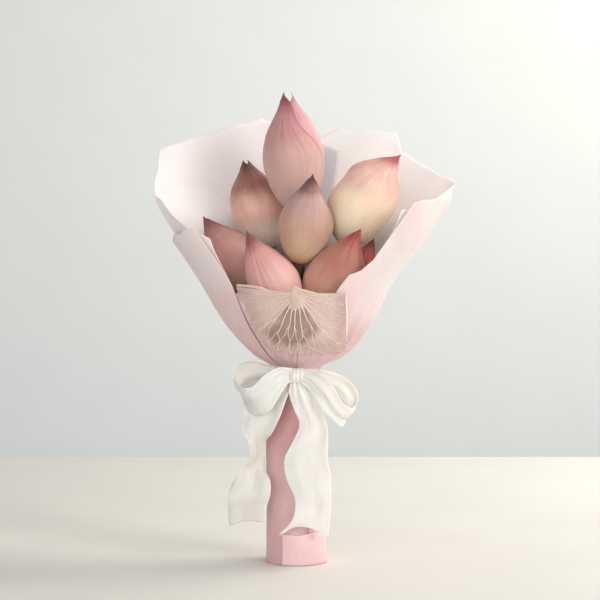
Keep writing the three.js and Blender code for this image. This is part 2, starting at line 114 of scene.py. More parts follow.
def slab(front, back, values):
    """A closed slab between two grids, as (points, faces, number of broad faces, values of each point).

    Each value is a number or an array that fits the grid.
    """
    index = numbered(front)
    half = index.size
    broad = quads(index)
    edge = np.concatenate([index[:, 0], index[-1, 1:], index[-2::-1, -1], index[0, -2:0:-1]])
    following = np.roll(edge, -1)
    rim = np.stack([edge + half, following + half, following, edge], 1)
    points = np.concatenate([front.reshape(-1, 3), back.reshape(-1, 3)])
    faces = np.concatenate([broad, broad[:, [0, 3, 2, 1]] + half, rim]).tolist()
    doubled = {name: np.tile(v, 2) for name, v in flattened(front, values).items()}
    return points, faces, 2 * len(broad), doubled


def lathe_part(grid, values):
    """A closed surface from a grid whose columns go once round. A flat face closes each end."""
    index = numbered(grid)
    sides = quads(np.vstack([index, index[:1]]))
    faces = sides.tolist() + [index[::-1, 0].tolist(), index[:, -1].tolist()]
    return grid.reshape(-1, 3), faces, len(sides), flattened(grid, values)


def thick(grid, thickness, values, lean=0.5):
    """A slab of that thickness on a grid of middle points. lean is the share of it on the front."""
    push = normals_of(grid) * np.broadcast_to(thickness, grid.shape[:2])[..., None]
    return slab(grid + lean * push, grid - (1 - lean) * push, values)


def link(name, data):
    made = bpy.data.objects.new(name, data)
    bpy.context.scene.collection.objects.link(made)
    return made


def build(name, parts, materials, finish, *nodes, slots=None):
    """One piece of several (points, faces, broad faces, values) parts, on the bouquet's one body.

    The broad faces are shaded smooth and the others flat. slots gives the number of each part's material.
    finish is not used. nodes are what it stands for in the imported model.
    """
    points, faces, is_smooth, material = [], [], [], []
    start = 0
    for number, (part_points, part_faces, broad, _) in enumerate(parts):
        points.append(part_points)
        faces.extend([corner + start for corner in face] for face in part_faces)
        is_smooth.extend([True] * broad + [False] * (len(part_faces) - broad))
        material.extend([slots[number] if slots else 0] * len(part_faces))
        start += len(part_points)
    mesh = bpy.data.meshes.new(name)
    mesh.from_pydata(((np.concatenate(points) + HANDLE_AXIS) / 1000).tolist(), [], faces)
    mesh.polygons.foreach_set("use_smooth", is_smooth)
    mesh.polygons.foreach_set("material_index", material)
    for key in sorted({key for part in parts for key in part[3]}):
        values = np.concatenate([part[3].get(key, np.zeros(len(part[0]))) for part in parts])
        mesh.attributes.new(key, "FLOAT", "POINT").data.foreach_set("value", values)
    mesh.update()
    for m in materials:
        mesh.materials.append(m)
    piece = link(name, mesh)
    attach(piece, "root")
    if nodes:
        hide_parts(*nodes)
    return piece


# ---- materials


def rgb(red, green, blue):
    """A colour written as 0 to 255, as the linear RGBA that shaders take."""
    channels = [c / 255 for c in (red, green, blue)]
    return (*[c / 12.92 if c <= 0.04045 else ((c + 0.055) / 1.055) ** 2.4 for c in channels], 1)


class Look:
    """A material's nodes. Each call adds one and returns its output; its inputs are outputs or constants."""

    def __init__(self, name, roughness, sheen=0.0, subsurface=0.0, depth=0.002, specular=0.5):
        self.material = bpy.data.materials.new(name)
        self.material.use_nodes = True
        self.nodes = self.material.node_tree.nodes
        self.links = self.material.node_tree.links
        self.shader = self.nodes["Principled BSDF"]
        inputs = {"Roughness": roughness, "Specular IOR Level": specular}
        inputs |= {"Sheen Weight": sheen, "Sheen Roughness": 0.5, "Subsurface Weight": subsurface}
        inputs |= {"Subsurface Scale": depth, "Subsurface Radius": (1.0, 0.6, 0.5)}
        self.set_shader(inputs)
        self.place = self.node("ShaderNodeTexCoord").outputs["Object"]

    def node(self, kind, inputs=(), **settings):
        made = self.nodes.new(kind)
        for key, value in settings.items():
            setattr(made, key, value)
        for key, value in dict(inputs).items():
            self.give(made.inputs[key], value)
        return made

    def set_shader(self, inputs):
        for key, value in inputs.items():
            if value is not None:
                self.give(self.shader.inputs[key], value)

    def give(self, socket, value):
        if isinstance(value, bpy.types.NodeSocket):
            self.links.new(value, socket)
        else:
            socket.default_value = value

    def value(self, name):
        """What the mesh holds under this name for each point."""
        return self.node("ShaderNodeAttribute", attribute_name=name).outputs["Fac"]

    def vector(self, x, y, z=0.0):
        return self.node("ShaderNodeCombineXYZ", {"X": x, "Y": y, "Z": z}).outputs[0]

    def scaled(self, vector, scale):
        return self.node("ShaderNodeMapping", {"Vector": vector, "Scale": scale}).outputs[0]

    def noise(self, vector, scale, detail=3.0, roughness=0.5, distortion=0.0):
        inputs = {"Vector": vector, "Scale": scale, "Detail": detail, "Roughness": roughness}
        return self.node("ShaderNodeTexNoise", {**inputs, "Distortion": distortion}).outputs["Fac"]

    def cells(self, vector, scale, feature="DISTANCE_TO_EDGE"):
        made = self.node("ShaderNodeTexVoronoi", {"Vector": vector, "Scale": scale}, feature=feature)
        return made.outputs["Distance"]

    def math(self, operation, a, b=0.0):
        return self.node("ShaderNodeMath", {0: a, 1: b}, operation=operation).outputs[0]

    def size(self, a):
        return self.math("ABSOLUTE", a)

    def times(self, a, b):
        return self.math("MULTIPLY", a, b)

    def plus(self, a, b):
        return self.math("ADD", a, b)

    def between(self, value, start, end, low=0.0, high=1.0):
        """value taken smoothly from the range start..end to low..high."""
        inputs = {"Value": value, "From Min": start, "From Max": end, "To Min": low, "To Max": high}
        return self.node("ShaderNodeMapRange", inputs, interpolation_type="SMOOTHSTEP").outputs["Result"]

    def mix(self, share, a, b):
        made = self.node("ShaderNodeMix", data_type="RGBA")
        self.give(made.inputs["Factor"], share)
        self.give(made.inputs[6], a)
        self.give(made.inputs[7], b)
        return made.outputs[2]

    def tint(self, colour, other, value, start, end, most=1.0):
        """colour taken towards other, by at most that share, as value goes smoothly from start to end."""
        return self.mix(self.between(value, start, end, 0.0, most), colour, other)

    def ramp(self, value, stops):
        made = self.node("ShaderNodeValToRGB", {"Fac": value})
        made.color_ramp.interpolation = "EASE"
        for n, (at, colour) in enumerate(stops):
            element = made.color_ramp.elements[n] if n < 2 else made.color_ramp.elements.new(at)
            element.position, element.color = at, colour
        return made.outputs["Color"]

    def finish(self, colour, roughness=None, height=None, bump=0.3, distance=0.001, alpha=None):
        bumped = None
        if height is not None:
            inputs = {"Height": height, "Strength": bump, "Distance": distance}
            bumped = self.node("ShaderNodeBump", inputs).outputs[0]
        self.set_shader({"Base Color": colour, "Roughness": roughness, "Normal": bumped, "Alpha": alpha})
        return self.material


def petal_look(name, base, body, top, tip, edge, under=None):
    """A dried lotus petal: its colour runs from base to tip, with fine veins, blotches and a darker edge,
    which is partly dried brown and partly a painted shadow line; turned planes get painted shade.

    under is the colour that petals beneath another one turn towards.
    """
    look = Look(name, roughness=0.55, sheen=0.22, subsurface=0.16, depth=0.003, specular=0.32)
    u, v, seed = look.value("across"), look.value("along"), look.value("seed")
    mottled = look.noise(look.place, 38, 3)
    patchy = look.noise(look.place, 90, 4, 0.6)
    height = look.plus(v, look.times(look.plus(mottled, -0.5), 0.28))
    colour = look.ramp(height, [(0.05, base), (0.42, body), (0.74, top), (0.97, tip)])
    if under:
        shown = look.times(look.value("under"), look.between(v, 1.0, 0.88, 0.1, 0.75))
        colour = look.mix(shown, colour, under)
    veins = look.noise(look.vector(look.times(u, 26), look.times(v, 1.6), look.times(seed, 40)), 1.0, 4, 0.6)
    fine = look.noise(look.vector(look.times(u, 95), look.times(v, 2.6), look.times(seed, 70)), 1.0, 3, 0.5)
    colour = look.tint(colour, look.mix(0.45, top, tip), veins, 0.46, 0.28, 0.16)
    colour = look.tint(colour, look.mix(0.55, base, rgb(255, 240, 230)), veins, 0.54, 0.74, 0.16)
    colour = look.tint(colour, tip, fine, 0.52, 0.34, 0.07)
    colour = look.tint(colour, edge, patchy, 0.58, 0.74, 0.12)
    # painted shade: turned planes darken towards a brown between the upper part and the edge colour
    colour = look.mix(look.value("shade"), colour, look.mix(0.5, top, edge))
    # the dried brown edge, darkened further as a painted shadow line where a petal's edge lies over the one
    # beneath
    rim = look.times(look.between(look.size(u), 0.86, 1.0), look.between(v, 0.18, 0.7, 0.15, 0.7))
    colour = look.mix(rim, colour, edge)
    relief = look.plus(look.times(veins, 0.7), look.plus(look.times(fine, 0.25), look.times(patchy, 0.25)))
    rough = look.between(patchy, 0.3, 0.7, 0.48, 0.66)
    return look.finish(colour, rough, relief, bump=0.3, distance=0.0008)


def heart_look(body, tip):
    look = Look("bud_heart", roughness=0.6, subsurface=0.1)
    streaks = look.noise(look.scaled(look.place, (900, 900, 60)), 1.0, 3)
    return look.finish(look.mix(streaks, body, tip), height=streaks, bump=0.2, distance=0.0004)


def paper_look(name, pale, deep, subsurface, clouding=0.4):
    """Frosted wrapping tissue: soft clouding, fine crinkles and fibres. It deepens towards the waist. Its
    crease lines get a little painted shade, and on the back sheets the deepening is also painted shade behind
    the buds.
    """
    look = Look(name, roughness=0.6, sheen=0.12, subsurface=subsurface, depth=0.003, specular=0.35)
    clouds = look.noise(look.place, 14, 3, 0.5, 0.4)
    crinkle = look.noise(look.place, 46, 5, 0.62, 0.9)
    creases = look.cells(look.scaled(look.place, (30, 30, 19)), 1.0)
    fibres = look.noise(look.scaled(look.place, (700, 700, 190)), 1.0, 2)
    low = look.value("low")
    share = look.plus(look.between(clouds, 0.35, 0.68, 0.0, clouding), look.times(low, 1 - clouding))
    colour = look.mix(look.math("MINIMUM", share, 1.0), pale, deep)
    colour = look.tint(colour, rgb(255, 250, 246), fibres, 0.6, 0.75, 0.14)
    # painted shade: the crease lines darken slightly towards the deep colour
    colour = look.tint(colour, deep, creases, 0.04, 0.0, 0.03)
    relief = look.plus(crinkle, look.between(creases, 0.0, 0.3, 0.0, 0.22))
    relief = look.plus(relief, look.times(fibres, 0.04))
    rough = look.between(crinkle, 0.3, 0.7, 0.52, 0.7)
    return look.finish(colour, rough, relief, bump=0.34, distance=0.0022)


def ribbon_look():
    """Translucent satin: fine lengthwise threads, a soft sheen and slow clouding."""
    look = Look("ribbon_satin", roughness=0.42, sheen=0.4, subsurface=0.35, depth=0.002, specular=0.5)
    s, a = look.value("along"), look.value("across")
    threads = look.noise(look.vector(look.times(a, 190), look.times(s, 30)), 1.0, 2)
    weft = look.noise(look.vector(look.times(a, 12), look.times(s, 420)), 1.0, 2)
    clouds = look.noise(look.place, 30, 3)
    colour = look.tint(rgb(231, 231, 224), rgb(240, 236, 230), clouds, 0.35, 0.65)
    colour = look.tint(colour, rgb(205, 208, 202), threads, 0.55, 0.35, 0.16)
    colour = look.tint(colour, rgb(214, 206, 202), weft, 0.55, 0.3, 0.10)
    # painted shade: the left tail and loop grey towards the colour of satin in shade
    colour = look.mix(look.value("deep"), colour, rgb(216, 213, 206))
    selvedge = look.between(look.size(look.plus(look.times(a, 2), -1)), 0.93, 0.97)
    colour = look.mix(look.times(selvedge, 0.6), colour, rgb(255, 252, 246))
    relief = look.plus(look.times(threads, 0.5), look.plus(look.times(weft, 0.4), selvedge))
    rough = look.between(clouds, 0.3, 0.7, 0.34, 0.5)
    return look.finish(colour, rough, relief, bump=0.25, distance=0.0004)


def stem_look():
    """A lotus stalk: fine ribs and small dark prickle spots on dull green, kept dark partly as painted shade
    where the stalks show between the buds.
    """
    look = Look("stem_green", roughness=0.6, subsurface=0.05, specular=0.35)
    ribs = look.noise(look.scaled(look.place, (520, 520, 16)), 1.0, 3)
    spots = look.cells(look.scaled(look.place, (210, 210, 130)), 1.0, "F1")
    dots = look.between(spots, 0.26, 0.14)
    colour = look.mix(ribs, rgb(58, 64, 36), rgb(104, 104, 64))
    colour = look.mix(look.times(dots, 0.6), colour, rgb(46, 38, 26))
    return look.finish(colour, height=look.plus(ribs, dots), bump=0.5, distance=0.0006)


def cut_look():
    look = Look("stem_cut", roughness=0.7, subsurface=0.1)
    pores = look.cells(look.place, 420, "F1")
    colour = look.tint(rgb(205, 208, 158), rgb(86, 90, 52), pores, 0.34, 0.2)
    return look.finish(colour, height=pores, bump=0.5, distance=0.0006)


def tape_look():
    look = Look("binding_crepe", roughness=0.75, sheen=0.1)
    crepe = look.noise(look.scaled(look.place, (260, 260, 1500)), 1.0, 4, 0.6)
    colour = look.mix(crepe, rgb(104, 122, 74), rgb(146, 158, 106))
    return look.finish(colour, height=crepe, bump=0.6, distance=0.0006)


def leaf_look():
    """A leaf bleached to its veins: a net of fine cells, seen through between the threads and at its edge.

    out goes from 0 at the hub to 1 at the edge, and turn is the angle below the horizontal. The panel is
    painted shade: a darker patch between the middle veins for the shadow seen through the leaf.
    """
    look = Look("skeleton_leaf_net", roughness=0.65, sheen=0.15, subsurface=0.2, depth=0.001, specular=0.3)
    x, y, out, turn = (look.value(name) for name in ("net_x", "net_y", "out", "turn"))
    flat = look.vector(x, y)
    net, finer = look.cells(flat, 0.5), look.cells(flat, 1.3)
    clouds = look.noise(flat, 0.055, 3)
    thread = look.math("MAXIMUM", look.between(net, 0.10, 0.02), look.between(finer, 0.07, 0.01, 0.0, 0.6))
    open_cell = look.math("SUBTRACT", 1.0, thread)
    middle = look.between(look.size(look.plus(turn, -87)), 43, 29)
    reached = look.plus(out, look.between(turn, 90, 125, 0.0, 0.22))
    painted_shade_panel = look.times(look.between(out, 0.2, 0.3), look.between(reached, 0.92, 0.78))
    painted_shade_panel = look.times(look.times(painted_shade_panel, middle), look.between(clouds, 0.3, 0.5, 0.6, 1.0))
    colour = look.tint(rgb(216, 190, 176), rgb(228, 200, 192), out, 0.1, 0.45)
    # painted shade between the middle veins
    colour = look.mix(look.times(painted_shade_panel, 0.88), colour, rgb(156, 126, 119))
    colour = look.mix(look.times(open_cell, 0.10), colour, rgb(200, 164, 158))
    faded = look.times(look.between(out, 0.6, 1.0, 0.0, 0.62), look.plus(look.times(open_cell, 0.3), 0.7))
    seen_through = look.times(look.between(out, 0.14, 0.26, 0.0, 0.16), open_cell)
    alpha = look.math("SUBTRACT", 1.0, look.math("MAXIMUM", faded, seen_through))
    return look.finish(colour, height=thread, bump=0.25, distance=0.0003, alpha=alpha)


def vein_look():
    look = Look("skeleton_leaf_vein", roughness=0.6, subsurface=0.2, depth=0.001)
    grain = look.noise(look.place, 600, 3)
    dull = look.mix(grain, rgb(230, 208, 198), rgb(220, 196, 186))
    colour = look.mix(look.value("bright"), dull, rgb(246, 234, 222))
    return look.finish(colour, height=grain, bump=0.3, distance=0.0003)


# ---- lotus buds

PETAL_COLUMNS, PETAL_ROWS = 40, 64
PETAL_STEP = 1.2  # how far each petal lies outside the one before it
PETAL_LIFT = 0.5  # how far the outermost lies outside the bud's own outline
PETAL_THICKNESS = 0.55
PETAL_FOOT = 0.03  # where a petal starts, as a share of the bud
THIN_LAYER = 0.35  # the least share of its step and folds that a petal keeps where the bud is narrow
TIP_RADIUS = 0.35
HEART_SIDES = 32
HEART_INSET = 5.5
BASE_RADIUS = 4.6
CLOSED = 0.01  # the radius of the ring that closes a surface

# The bud's outline: how wide it is, from 0 to 1, at a share of its length.
BUD_OUTLINE = [[0, 0.15], [0.04, 0.45], [0.1, 0.68], [0.2, 0.88], [0.32, 0.99], [0.42, 1], [0.55, 0.9],
               [0.68, 0.69], [0.8, 0.44], [0.9, 0.22], [1, 0.04]]

# Each bud goes from base to tip and bends towards the tip.
#   full: above 1, its widest place is higher.
#   slot: its stem's place in the ring, or None in the middle. via: what its stem passes through, low to high.
#   petals, from the innermost to the outermost: facing and half-spread in degrees, how far the tip stands
#     off, and how much longer than the bud they are.
#   pointed: how many of the outermost end sharp. taper: how the outermost narrows, and where that starts and
#     ends. sway: which petals' tips lean aside, in X and Y.
#   bulge: facing, how far out, where along, and over what length.
#   shades: painted shade on planes of the bud that turn away from the light: facing, where along, how wide in
#       degrees, how long, and how dark.
#   folds: petal, place across it, depth, where along it starts and ends, and how wide.
#   colours: base, body, upper part, tip, edge (dried brown, also used for the painted shadow line at the rim
#       and for the painted shade), and for some what petals beneath another one turn towards.
BUDS = {
    "top": dict(
        base=[3, 12.5, 378], tip=[-8, 8.5, 512], bend=[0, 0, 0], radius=34, full=1.3, slot=None,
        via=[[0, 4, 258], [-1, 8, 305]],
        petals=[[60, 84, 0, -13], [160, 86, 0, -11], [-20, 90, -1.9, 4], [-122, 100, 1.0, 3]],
        pointed=2, taper=(0.55, 0.42, 0.8), sway={3: (-4, -1.6), 2: (2.5, 2.6)},
        folds=[[3, 0.35, 0.9, 0.35, 0.95, 0.07], [3, 0.52, 1.1, 0.3, 0.9, 0.06],
               [3, 0.1, 0.6, 0.4, 0.9, 0.06]],
        colours=[(224, 190, 181), (210, 168, 160), (204, 144, 143), (150, 64, 84), (152, 88, 94),
                 (208, 152, 160)],
        finish="bud_pale_pink",
    ),
    "upper_left": dict(
        base=[-30, 47, 341], tip=[-54, 50, 444], bend=[-4, 0, 0], radius=31.5, full=1.2, slot=3,
        petals=[[120, 84, 0, -5], [20, 88, 0, -4], [-40, 90, 0.2, 0], [-112, 98, 0.4, 0]],
        pointed=2, sway={3: (-1.6, -0.5), 2: (1.2, 0.6)}, bulge=[180, 3.5, 0.72, 0.14],
        shades=[[-25, 0.68, 34, 0.24, 0.45]],
        folds=[[3, -0.25, 0.8, 0.35, 0.9, 0.08], [3, 0.3, 1.0, 0.4, 0.95, 0.1]],
        colours=[(255, 240, 224), (244, 193, 176), (164, 108, 96), (100, 55, 50), (124, 78, 70)],
        finish="bud_brown_mauve",
    ),
    "centre": dict(
        base=[4, -16, 324], tip=[16, -38, 420], bend=[2, 0, 0], radius=28.5, full=1.2, slot=6,
        via=[[1, -11, 240], [0, -9, 272], [2, -10, 300]],
        petals=[[90, 84, 0, -5], [170, 88, 0, -4], [-42, 84, 0, -3], [-100, 98, 0.2, 1]],
        shades=[[-150, 0.6, 34, 0.22, 0.22]],
        folds=[[3, 0.42, 0.9, 0.4, 0.92, 0.04], [3, 0.3, 0.7, 0.5, 0.92, 0.03],
               [3, -0.45, 0.7, 0.3, 0.9, 0.1]],
        colours=[(230, 198, 160), (200, 160, 143), (196, 156, 150), (94, 50, 56), (128, 82, 78)],
        finish="bud_beige_mauve",
    ),
    "upper_right": dict(
        base=[55, -3, 342], tip=[83, -8, 449], bend=[33, 0, -4], radius=35.5, full=1.3, slot=2,
        via=[[12, 12, 245], [25, 8, 290], [38, 4, 310]],
        petals=[[90, 84, 0, -8], [170, 86, 0, -8], [-20, 84, 0, -4], [-106, 96, 0.4, -1]],
        bulge=[180, 14, 0.84, 0.13],
        shades=[[-52, 0.74, 15, 0.15, 0.5], [-20, 0.5, 24, 0.3, 0.4]],
        folds=[[3, 0.5, 1.4, 0.45, 0.98, 0.09], [3, -0.15, 0.7, 0.4, 0.9, 0.1],
               [2, -0.3, 1.0, 0.4, 0.9, 0.1]],
        colours=[(255, 240, 210), (252, 226, 196), (240, 190, 176), (166, 84, 92), (206, 132, 128)],
        finish="bud_cream",
    ),
    "lower_left": dict(
        base=[-42, 10, 296], tip=[-96, 5, 376], bend=[-5, 0, 2], radius=29.5, full=1.1, slot=4,
        petals=[[120, 84, 0, -5], [30, 88, 0, -4], [-50, 88, 0, -3], [-118, 98, 0.2, 1]],
        shades=[[-30, 0.5, 26, 0.3, 0.25]],
        folds=[[3, 0.1, 0.8, 0.3, 0.9, 0.1], [2, -0.2, 0.8, 0.4, 0.9, 0.08]],
        colours=[(226, 178, 166), (216, 163, 154), (190, 138, 132), (110, 64, 66), (134, 84, 82)],
        finish="bud_dusty_mauve",
    ),
    "front_left": dict(
        base=[-6, -34, 265], tip=[-47, -47, 359], bend=[-5, 0, 0], radius=27, full=1.1, slot=5,
        via=[[-10, -12.5, 224]],
        petals=[[100, 84, 0, -5], [180, 88, 0, -4], [-30, 88, 0, -3], [-108, 98, 0.2, 1]],
        folds=[[3, -0.05, 0.9, 0.15, 0.92, 0.05], [3, 0.12, 0.8, 0.15, 0.85, 0.045],
               [3, 0.28, 0.8, 0.15, 0.85, 0.045], [3, 0.5, 0.6, 0.25, 0.85, 0.06]],
        colours=[(238, 194, 184), (234, 184, 177), (224, 160, 155), (134, 68, 72), (164, 98, 94)],
        finish="bud_rose",
    ),
    "front_right": dict(
        base=[22.5, -19, 262], tip=[55, -46, 365], bend=[15, -2, -2], radius=29, full=1.15, slot=0,
        petals=[[90, 84, 0, -6], [180, 86, 0, -6], [-10, 88, 0, -3], [-112, 96, 0.3, -1]],
        bulge=[0, 6, 0.58, 0.2],
        shades=[[-98, 0.6, 20, 0.13, 0.6]],
        folds=[[3, 0.35, 1.8, 0.4, 0.95, 0.1], [3, -0.2, 0.8, 0.3, 0.9, 0.08], [2, -0.2, 1.0, 0.4, 0.9, 0.1]],
        colours=[(210, 164, 140), (212, 162, 142), (182, 120, 104), (160, 58, 62), (166, 80, 76)],
        finish="bud_terracotta",
    ),
    "lower_right": dict(
        base=[47, 13, 264], tip=[86, 23, 354], bend=[1, 0, 0], radius=23, full=1.1, slot=1,
        via=[[15, 4, 222]],
        petals=[[90, 84, 0, -5], [170, 86, 0, -4], [-20, 86, 0, -3], [-105, 96, 0.2, 0]],
        folds=[[3, 0.2, 0.8, 0.3, 0.9, 0.1]],
        # painted shade: this bud's colours darken towards its base, where it sits low behind the others
        colours=[(140, 60, 58), (160, 66, 62), (200, 106, 98), (122, 44, 48), (104, 44, 46)],
        finish="bud_dark_rose",
    ),
}


def bud_width(bud, t):
    """The share of the bud's radius at a share of its length."""
    return along(BUD_OUTLINE, np.clip(t, 0, 1) ** bud["full"])


def bud_axis(bud):
    base, tip = np.array(bud["base"], float), np.array(bud["tip"], float)
    length = np.linalg.norm(tip - base)
    return base, (tip - base) / length, length


def stand(bud, points):
    """Points that were made upright at the origin, turned to the bud's axis, moved to its base and bent."""
    base, axis, length = bud_axis(bud)
    turn = np.array(UP.rotation_difference(Vector(axis)).to_matrix())
    share = np.clip(points[..., 2:3] / length, 0, 1)
    return points @ turn.T + base + np.array(bud["bend"], float) * share**3


def turned(degrees, facing):
    """The angle from facing, from -180 to 180."""
    return (degrees - facing + 180) % 360 - 180


def bulge(bud, degrees, t):
    if "bulge" not in bud:
        return 0
    facing, out, at, reach = bud["bulge"]
    return out * np.maximum(0, np.cos(np.radians(degrees - facing))) ** 2 * hill((t - at) / reach)


def shade(bud, degrees, t):
    """How far painted shade darkens the surface, from 0 to 1, where a plane of the bud is turned in."""
    shades = bud.get("shades", [])
    return sum(dark * hill(turned(degrees, facing) / wide) * hill((t - at) / long)
               for facing, at, wide, long, dark in shades)


def petals_over(bud, index):
    return len(bud["petals"]) - 1 - index


def petal_reach(bud, index, t):
    """A petal's half-spread along its length: the outermost narrows most, and the pointed ones end sharp."""
    over = petals_over(bud, index)
    taper, start, end = (0.2, 0.45, 1) if over else bud.get("taper", (0.42, 0.45, 1))
    reach = bud["petals"][index][1] * (1 - taper * smooth(start, end, t) - 0.25 * smooth(0.3, 0, t))
    return reach * (1 - 0.75 * smooth(0.92, 1, t)) if over < bud.get("pointed", 1) else reach


def creases(bud, degrees, t):
    """How far the folds move the bud's surface in or out: each is a groove with a ridge beside it."""
    moved = 0
    for which, at, depth, start, end, wide in bud["folds"]:
        away = turned(degrees, bud["petals"][which][0]) / petal_reach(bud, which, t) - at
        groove, ridge = hill(away / wide), 0.45 * hill(away / wide - 1.7)
        moved = moved + depth * smooth(start, (start + end) / 2, t) * smooth(1.04, end, t) * (ridge - groove)
    return moved


def petal_radius(bud, index, number, seed, u, t, angle):
    """How far the outside of a petal lies from the bud's axis."""
    over = petals_over(bud, index)
    width = bud_width(bud, t)
    layer = np.maximum(width, THIN_LAYER)
    stands_off = bud["petals"][index][2] * smooth(0.72, 0.97, t)
    radius = bud["radius"] * width - over * PETAL_STEP * layer + stands_off + PETAL_LIFT
    radius = radius + bulge(bud, angle, t) + creases(bud, angle, t) * layer
    a = np.radians(angle)
    dents = 0.55 * np.sin(3 * a + number) + 0.35 * np.sin(5 * a - 4 * t + 2 * number)
    ribs = 0.14 * np.sin(21 * u + seed) + 0.08 * np.sin(43 * u + 3 * seed)
    radius = radius + smooth(0, 0.25, t) * smooth(1, 0.8, t) * (dents + ribs)
    curled_edge = smooth(0.84, 1, np.abs(u)) * smooth(0.1, 0.4, t)
    return np.maximum(radius + (0.25 * layer if over else 0.5) * curled_edge, TIP_RADIUS)


def petal(bud, index, number):
    """One petal as a slab. u goes across it from -1 to 1, and t along it from 0 to 1."""
    facing, _, _, longer = bud["petals"][index]
    seed = 1.7 * number + 2.9 * index
    u = np.linspace(-1, 1, PETAL_COLUMNS + 1)[:, None]
    t = (PETAL_FOOT + (1 - PETAL_FOOT) * np.linspace(0, 1, PETAL_ROWS + 1) ** 0.9)[None, :]
    ragged = 1 + 0.025 * np.sin(9 * t + seed) + 0.012 * np.sin(27 * t + 2 * seed)
    angle = facing + u * petal_reach(bud, index, t) * ragged
    radius = petal_radius(bud, index, number, seed, u, t, angle)
    thin_edge, thin_tip = 1 - 0.55 * smooth(0.8, 1, np.abs(u)), 1 - 0.4 * smooth(0.72, 0.97, t)
    inner = np.maximum(radius - PETAL_THICKNESS * thin_edge * thin_tip, 0.1)
    height = t * (bud_axis(bud)[2] + longer)
    sway = np.array([*bud.get("sway", {}).get(index, (0, 0)), 0]) * smooth(0.8, 1, t)[..., None] ** 1.5
    values = {"across": u, "along": t, "shade": shade(bud, angle, t), "seed": (seed % 5) / 5}
    values["under"] = min(petals_over(bud, index), 1)
    outside, inside = polar(radius, angle, height), polar(inner, angle, height)
    points, faces, broad, values = slab(outside + sway, inside + sway, values)
    return stand(bud, points), faces, broad, values


def bud_heart(bud):
    """The closed body under the petals, in one smooth surface of revolution."""
    t = np.concatenate([[0, 0], np.linspace(0.03, 0.93, 24), [0.95]])
    radius = (bud["radius"] - HEART_INSET) * bud_width(bud, t) * (1 - 0.5 * smooth(0.55, 0.9, t))
    radius[:2] = [CLOSED, BASE_RADIUS]
    radius[-1] = CLOSED
    around = np.linspace(0, 360, HEART_SIDES, endpoint=False)[:, None]
    grid = polar(radius[None, :], around, (t * bud_axis(bud)[2])[None, :])
    return lathe_part(stand(bud, grid), {"along": t[None, :]})


def build_bud(name, number):
    bud = BUDS[name]
    colours = [rgb(*c) for c in bud["colours"]]
    petals = [petal(bud, index, number) for index in range(len(bud["petals"]))]
    looks = [petal_look("petal_" + name, *colours), heart_look(colours[1], colours[3])]
    slots = [0] * len(petals) + [1]
    build("bud_" + name, [*petals, bud_heart(bud)], looks, bud["finish"], "lotus_bud_" + name, slots=slots)


# ---- stems and binding

WAIST_HEIGHT = 207
STEM_RADIUS, MIDDLE_STEM_RADIUS = 5, 6.3
STEM_RING_AT_WAIST, STEM_RING_AT_FOOT = 11.8, 26
SPIRAL_TURN = 38  # degrees
STEM_SLOTS = 7
FIRST_SLOT = -38  # degrees
STEM_SIDES, STEM_STEPS = 20, 90
STEM_NODES = (1.0, 0.66, 0.33, 0.08, 0.01, -0.04)  # from the foot, at 1, to just above the waist
STEM_STRAIGHT = 14  # the last of a stem runs along its bud's axis
STEM_END = 0.35  # how far below the bud's base it ends
TAPE_LOW, TAPE_HIGH = 198, 204
TAPE_INNER = STEM_RING_AT_WAIST + STEM_RADIUS + 1
# The tape's section: how far out, and the share of its height.
TAPE_SECTION = [[0, 0], [0.45, 0], [0.6, 0.05], [0.6, 0.95], [0.45, 1], [0, 1], [0, 0]]


def stem_path(bud):
    """The points that a stem passes through: a spiral up to the waist, then out to its bud."""
    middle = bud["slot"] is None
    azimuth = 0 if middle else FIRST_SLOT + 360 / STEM_SLOTS * bud["slot"]
    spread = STEM_RING_AT_FOOT - STEM_RING_AT_WAIST
    base, axis, _ = bud_axis(bud)

    def below(share):
        ring = 0 if middle else STEM_RING_AT_WAIST + spread * max(0, share) ** 1.3
        return polar(ring, azimuth - SPIRAL_TURN * share, WAIST_HEIGHT * (1 - share))

    via = np.array(bud.get("via", []), float).reshape(-1, 3)
    return [*map(below, STEM_NODES), *via, base - STEM_STRAIGHT * axis, base - STEM_END * axis]


def tube(path, radii, sides, values=None):
    """A closed tube of round section along a path, which doesn't twist."""
    steps = np.gradient(path, axis=0)
    steps /= np.linalg.norm(steps, axis=1, keepdims=True)
    side = np.cross(steps[0], [0, 1, 0] if abs(steps[0][1]) < 0.9 else [1, 0, 0])
    rings = []
    for at, step, radius in zip(path, steps, np.broadcast_to(radii, len(path))):
        side = side - step * side.dot(step)
        side /= np.linalg.norm(side)
        other = np.cross(step, side)
        a = np.linspace(0, math.tau, sides, endpoint=False)[:, None]
        rings.append(at + radius * (np.cos(a) * side + np.sin(a) * other))
    return lathe_part(np.stack(rings, 1), values or {})


def build_stem(name, looks):
    bud = BUDS[name]
    path = curve_through(stem_path(bud), np.linspace(0, 1, STEM_STEPS + 1))
    radius = MIDDLE_STEM_RADIUS if bud["slot"] is None else STEM_RADIUS
    points, faces, broad, values = tube(path, radius, STEM_SIDES)
    points[:: STEM_STEPS + 1, 2] = 0.0  # the cut is level
    stalk = (points, faces[:-2], broad, values)
    cuts = (points, faces[-2:], 0, values)
    weld(build("stalk_" + name, [stalk, cuts], looks, "stem", "stem_" + name, slots=[0, 1]))


def weld(piece):
    """Joins points at the same place, so that parts which share an edge make one closed surface."""
    work = bmesh.new()
    work.from_mesh(piece.data)
    bmesh.ops.remove_doubles(work, verts=work.verts, dist=1e-6)
    work.to_mesh(piece.data)
    work.free()


